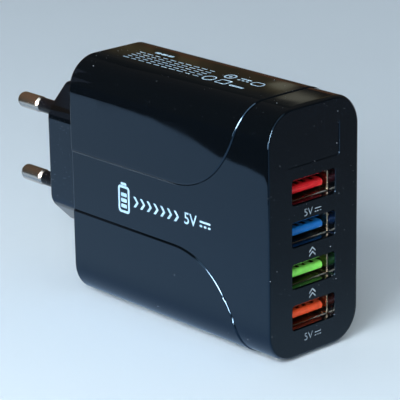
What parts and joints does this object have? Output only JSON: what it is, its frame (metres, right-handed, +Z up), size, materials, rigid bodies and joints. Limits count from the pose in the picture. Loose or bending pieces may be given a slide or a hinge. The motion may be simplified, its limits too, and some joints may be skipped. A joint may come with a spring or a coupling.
{
  "type": "usb wall charger",
  "caption": "Black plug-in wall charger with stacked USB-A ports in its narrow front and a flat two-pin mains plug at its rear.",
  "frame": {"origin": "middle of the box round the whole part, pins included, on the surface that it stands on", "axes": "+Z up as it stands on its narrow bottom, the ports face -Y, the mains pins point to +Y"},
  "size_m": [0.0288, 0.1026, 0.0586],
  "materials": {
    "housing_black": "polished black moulding",
    "pin_nickel": "nickel plated, lightly worn",
    "sleeve_black": "satin",
    "spring_bronze": "bare sheet",
    "board_green": "lacquered board",
    "ferrite": "dull fired",
    "bobbin_black": "moulded",
    "winding_tape": "wrapped tape",
    "can_sleeve": "shrunk sleeve",
    "can_aluminium": "drawn can",
    "fuse_case": "moulded",
    "disc_blue": "dipped",
    "chip_black": "moulded",
    "shell_steel": "plated sheet",
    "contact_gold": "plated",
    "tongue_red": "moulded",
    "tongue_blue": "moulded",
    "tongue_green": "moulded",
    "tongue_orange": "moulded"
  },
  "bodies": {
    "root": {"bridge_rectifier": "chip_black", "controller_chip": "chip_black", "front_housing": "housing_black", "fuse": "fuse_case", "input_capacitor_1": "can_sleeve", "input_capacitor_2": "can_sleeve", "input_choke": "ferrite", "line_blade": "spring_bronze", "line_pin": "pin_nickel", "line_pin_sleeve": "sleeve_black", "main_board": "board_green", "neutral_blade": "spring_bronze", "neutral_pin": "pin_nickel", "neutral_pin_sleeve": "sleeve_black", "optocoupler": "chip_black", "output_capacitor_1": "can_aluminium", "output_capacitor_2": "can_aluminium", "output_rectifier": "chip_black", "port_chip_1": "chip_black", "port_chip_2": "chip_black", "rear_housing": "housing_black", "safety_capacitor": "disc_blue", "transformer_bobbin": "bobbin_black", "transformer_core": "ferrite", "transformer_winding": "winding_tape", "usb_contacts_1": "contact_gold", "usb_contacts_2": "contact_gold", "usb_contacts_3": "contact_gold", "usb_contacts_4": "contact_gold", "usb_shell_1": "shell_steel", "usb_shell_2": "shell_steel", "usb_shell_3": "shell_steel", "usb_shell_4": "shell_steel", "usb_tongue_1": "tongue_red", "usb_tongue_2": "tongue_blue", "usb_tongue_3": "tongue_green", "usb_tongue_4": "tongue_orange"}
  },
  "joints": []
}
